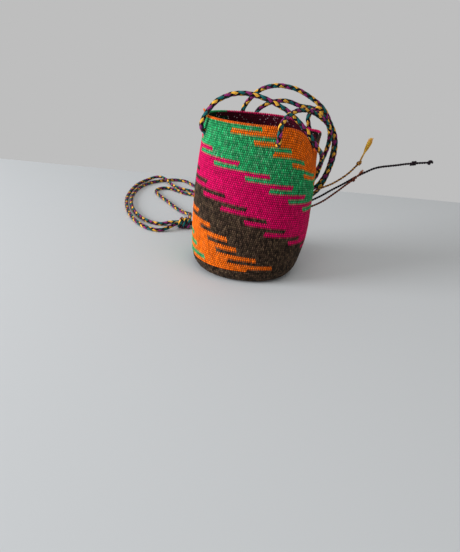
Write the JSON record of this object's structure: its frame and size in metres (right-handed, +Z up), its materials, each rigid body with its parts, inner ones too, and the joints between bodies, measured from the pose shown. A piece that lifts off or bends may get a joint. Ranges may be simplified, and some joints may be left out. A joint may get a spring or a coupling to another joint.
{
  "type": "crocheted drawstring bag",
  "caption": "Small upright crocheted bag with stepped colour bands, braided drawstring loops through eyelets, a braided shoulder strap and thin tails with knots and a tassel.",
  "frame": {"origin": "middle of the bag's flat base, on the surface it stands on; the bag's own box is centred on it, cords left out", "axes": "+Z up out of the mouth, -Y towards the bag's front, +X towards the side where the cords are gathered"},
  "size_m": [0.3672, 0.328, 0.185],
  "materials": {
    "base_yarn": "matte yarn",
    "wall_yarn": "matte yarn",
    "edging_yarn": "matte yarn",
    "braid": "matte yarn",
    "dark_cord": "matte yarn",
    "yellow_cord": "matte yarn",
    "brown_cord": "matte yarn"
  },
  "bodies": {
    "bag": {"bag_base": "base_yarn", "bag_wall": "wall_yarn", "rim_edging": "edging_yarn", "mouth_cord_left": "braid", "mouth_cord_right": "braid", "side_cord": "braid", "side_cord_knot": "braid", "cord_bundle": "braid", "bundle_binding": "dark_cord", "shoulder_strap": "braid", "keeper_cord": "braid"},
    "keeper_wrap": {"keeper_wrap": "braid", "keeper_lead": "braid"},
    "loose_tails": {"yellow_tail": "yellow_cord", "yellow_knot": "yellow_cord", "yellow_tassel": "yellow_cord", "black_tail": "dark_cord", "black_knot": "dark_cord", "black_tail_tip": "dark_cord", "black_end_knot": "dark_cord", "brown_tail": "brown_cord", "brown_knot": "brown_cord", "brown_tuft": "brown_cord"}
  },
  "joints": [
    {"name": "wrap_slide", "type": "slide", "parent": "bag", "child": "keeper_wrap", "axis": [0.9925, 0.1219, 0], "range_m": [0, 0.015]},
    {"name": "tails_swing", "type": "hinge", "parent": "bag", "child": "loose_tails", "pos_m": [0.0585, 0.0391, 0.0533], "axis": [0, 0, 1], "range_deg": [-20, 8]}
  ]
}
